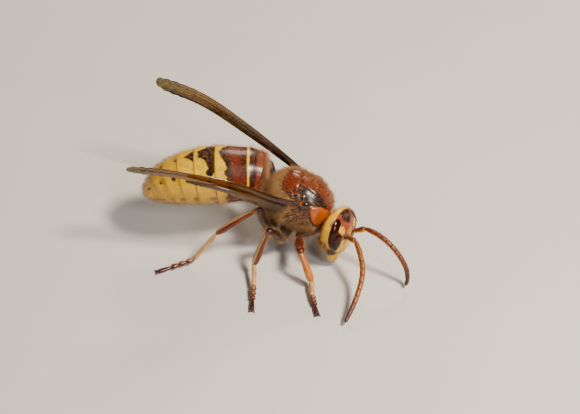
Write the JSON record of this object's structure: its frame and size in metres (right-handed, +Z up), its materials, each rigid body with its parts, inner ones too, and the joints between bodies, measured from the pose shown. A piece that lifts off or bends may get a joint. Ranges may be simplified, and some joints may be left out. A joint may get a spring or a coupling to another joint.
{
  "type": "european hornet",
  "caption": "Life-size still model of a male European hornet standing with its head turned, antennae curved down and folded wings held up over a banded abdomen.",
  "frame": {"origin": "on the floor, under the middle of the model's bounding box", "axes": "+X the way the thorax points, +Y the hornet's left side, +Z up"},
  "size_m": [0.0321, 0.0238, 0.0136],
  "materials": {
    "rust": "red-brown insect cuticle, satin, with short hair",
    "amber": "orange-brown insect cuticle, satin",
    "yellow": "yellow insect cuticle, glossy, with brown marks",
    "dark": "dark brown insect cuticle, glossy, hairy",
    "eye": "dark brown compound eye, polished",
    "wing": "amber wing membrane, translucent, with dark veins",
    "leg": "reddish brown leg cuticle with paler edges"
  },
  "bodies": {
    "root": {"head": "amber", "eye_right": "eye", "eye_left": "eye", "clypeus": "yellow", "mandible_right": "yellow", "mandible_left": "yellow", "scape_right": "rust", "scape_left": "rust", "flagellum_base_right": "rust", "flagellum_base_left": "rust", "flagellum_tip_right": "rust", "flagellum_tip_left": "rust", "pronotum": "amber", "mesoscutum": "rust", "scutellum": "rust", "metanotum": "rust", "propodeum": "dark", "mesopleura_front": "dark", "mesopleura_rear": "dark", "tegula_right": "dark", "tegula_left": "dark", "gaster_1": "rust", "gaster_2": "rust", "gaster_3": "yellow", "gaster_4": "yellow", "gaster_5": "yellow", "gaster_6": "yellow", "gaster_7": "yellow", "forewing_right": "wing", "forewing_left": "wing", "hindwing_right": "wing", "hindwing_left": "wing", "coxa_front_right": "dark", "coxa_front_left": "dark", "coxa_mid_right": "dark", "coxa_mid_left": "dark", "coxa_hind_right": "dark", "coxa_hind_left": "dark", "femur_front_right": "rust", "femur_front_left": "rust", "femur_mid_right": "rust", "femur_mid_left": "rust", "femur_hind_right": "rust", "femur_hind_left": "rust", "tibia_front_right": "leg", "tibia_front_left": "leg", "tibia_mid_right": "leg", "tibia_mid_left": "leg", "tibia_hind_right": "leg", "tibia_hind_left": "leg", "tarsus_front_right": "leg", "tarsus_front_left": "leg", "tarsus_mid_right": "leg", "tarsus_mid_left": "leg", "tarsus_hind_right": "leg", "tarsus_hind_left": "leg"}
  },
  "joints": []
}
